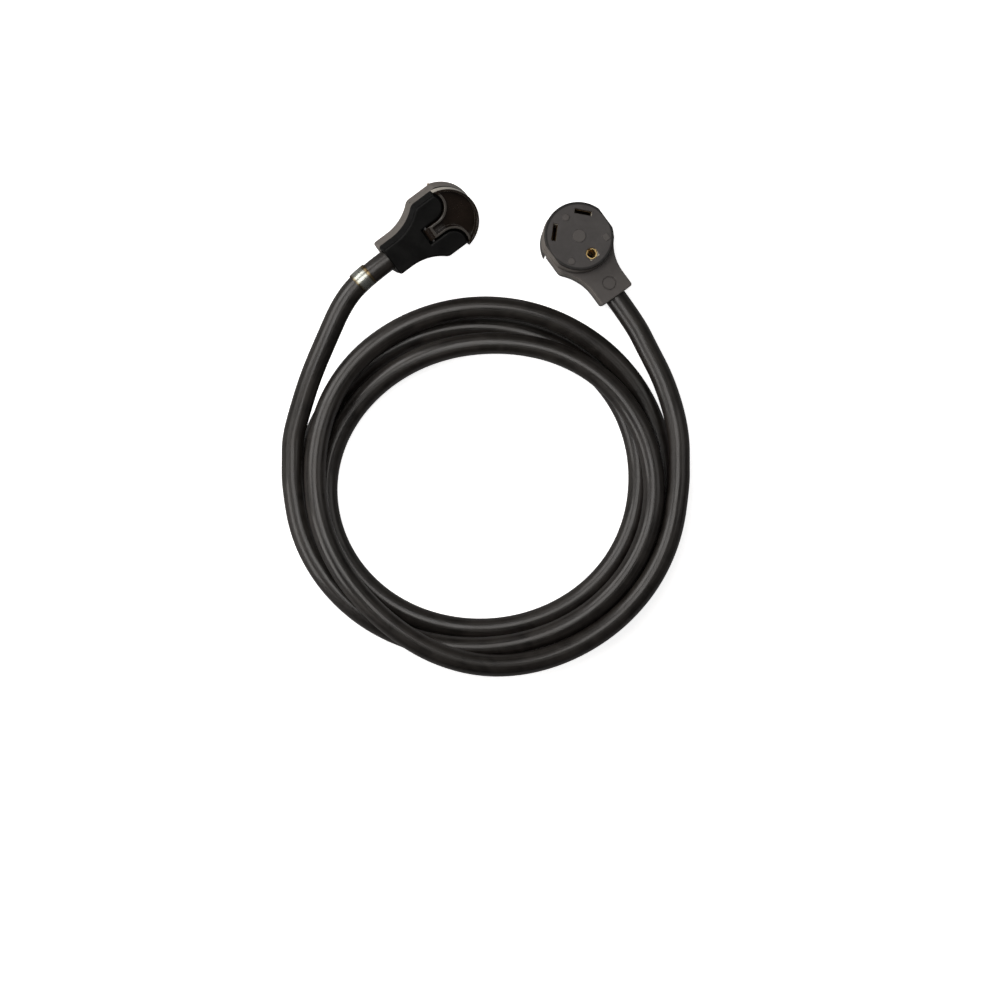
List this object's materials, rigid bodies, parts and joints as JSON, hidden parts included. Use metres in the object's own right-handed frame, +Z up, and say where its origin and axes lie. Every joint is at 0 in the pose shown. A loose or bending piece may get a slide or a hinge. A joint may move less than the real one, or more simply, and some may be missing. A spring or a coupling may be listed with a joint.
{
  "type": "shore power cord",
  "caption": "Coiled three-wire shore power cord with a flat bladed plug and a flat socket connector; each head has a pull handle that folds out of its back.",
  "frame": {"origin": "middle of the rectangle round the plug and the connector, on the floor", "axes": "+X to the right in the picture, from the plug to the connector; +Y away from the coil; +Z up"},
  "size_m": [0.2999, 0.3647, 0.0585],
  "materials": {
    "shell_gray": "satin moulded",
    "shell_dark": "matte moulded",
    "cover_black": "satin moulded",
    "handle_black": "glossy moulded",
    "cord_jacket": "satin extruded",
    "band": "smooth",
    "carrier_nylon": "moulded",
    "brass": "bright",
    "steel": "zinc plated",
    "wire_black": "smooth insulation",
    "wire_white": "smooth insulation",
    "wire_green": "smooth insulation"
  },
  "bodies": {
    "cord_set": {"connector_back_cover": "cover_black", "connector_clamp_screws": "steel", "connector_contact_carrier": "carrier_nylon", "connector_cord_clamp": "steel", "connector_cord_end": "cord_jacket", "connector_front_shell": "shell_dark", "connector_ground_contact": "brass", "connector_ground_wire": "wire_green", "connector_handle_pin": "steel", "connector_hot_contact": "brass", "connector_hot_wire": "wire_black", "connector_neutral_contact": "brass", "connector_neutral_wire": "wire_white", "connector_terminal_screws": "steel", "cord_band": "band", "cord_coil": "cord_jacket", "cord_lead_connector": "cord_jacket", "cord_lead_plug": "cord_jacket", "plug_back_cover": "cover_black", "plug_blade_carrier": "carrier_nylon", "plug_clamp_screws": "steel", "plug_cord_clamp": "steel", "plug_cord_end": "cord_jacket", "plug_front_shell": "shell_gray", "plug_ground_pin": "brass", "plug_ground_wire": "wire_green", "plug_handle_pin": "steel", "plug_hot_blade": "brass", "plug_hot_wire": "wire_black", "plug_neutral_blade": "brass", "plug_neutral_wire": "wire_white", "plug_terminal_screws": "steel"},
    "plug_handle": {"plug_handle": "handle_black"},
    "connector_handle": {"connector_handle": "handle_black"}
  },
  "joints": [
    {"name": "plug_handle_fold", "type": "hinge", "parent": "cord_set", "child": "plug_handle", "pos_m": [-0.05458, 0.00356, 0.04491], "axis": [0.5362, -0.7116, -0.454], "range_deg": [0, 90]},
    {"name": "connector_handle_fold", "type": "hinge", "parent": "cord_set", "child": "connector_handle", "pos_m": [0.06161, -0.01115, 0.00623], "axis": [-0.8011, -0.5821, 0.1392], "range_deg": [0, 90]}
  ]
}
